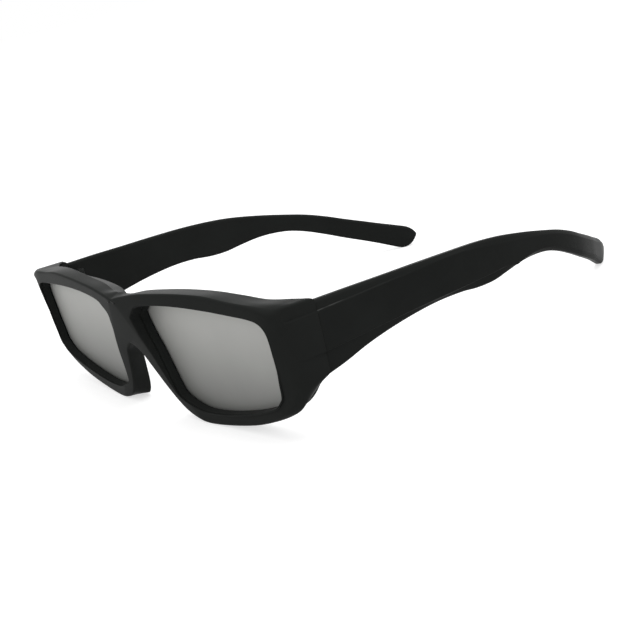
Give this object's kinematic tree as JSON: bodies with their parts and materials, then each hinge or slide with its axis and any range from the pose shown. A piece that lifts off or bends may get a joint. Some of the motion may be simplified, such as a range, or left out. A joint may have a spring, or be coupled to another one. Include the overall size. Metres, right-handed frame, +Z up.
{
  "type": "eclipse glasses",
  "caption": "Black plastic solar eclipse viewing glasses with a deep wrap-around front, silver film lenses and curved folding temples.",
  "frame": {"origin": "centre of the outline on the surface that the glasses rest on, temples open", "axes": "+Z up, +Y from the front towards the ear tips, +X towards the wearer's left"},
  "size_m": [0.1558, 0.1607, 0.0433],
  "materials": {
    "frame_plastic": "satin",
    "temple_plastic": "satin",
    "bezel_plastic": "satin",
    "filter_film": "satin",
    "pin_steel": "satin"
  },
  "bodies": {
    "front": {"front_frame": "frame_plastic", "lens_right": "filter_film", "lens_left": "filter_film", "bezel_right": "bezel_plastic", "bezel_left": "bezel_plastic", "hinge_pin_right": "pin_steel", "hinge_pin_left": "pin_steel"},
    "right_temple": {"temple_right": "temple_plastic"},
    "left_temple": {"temple_left": "temple_plastic"}
  },
  "joints": [
    {"name": "temple_right_fold", "type": "hinge", "parent": "front", "child": "right_temple", "pos_m": [-0.071, -0.05728, 0.02842], "axis": [0, -0.0256, -0.9997], "range_deg": [0, 80]},
    {"name": "temple_left_fold", "type": "hinge", "parent": "front", "child": "left_temple", "pos_m": [0.071, -0.05728, 0.02842], "axis": [0, 0.0256, 0.9997], "range_deg": [0, 70]}
  ]
}
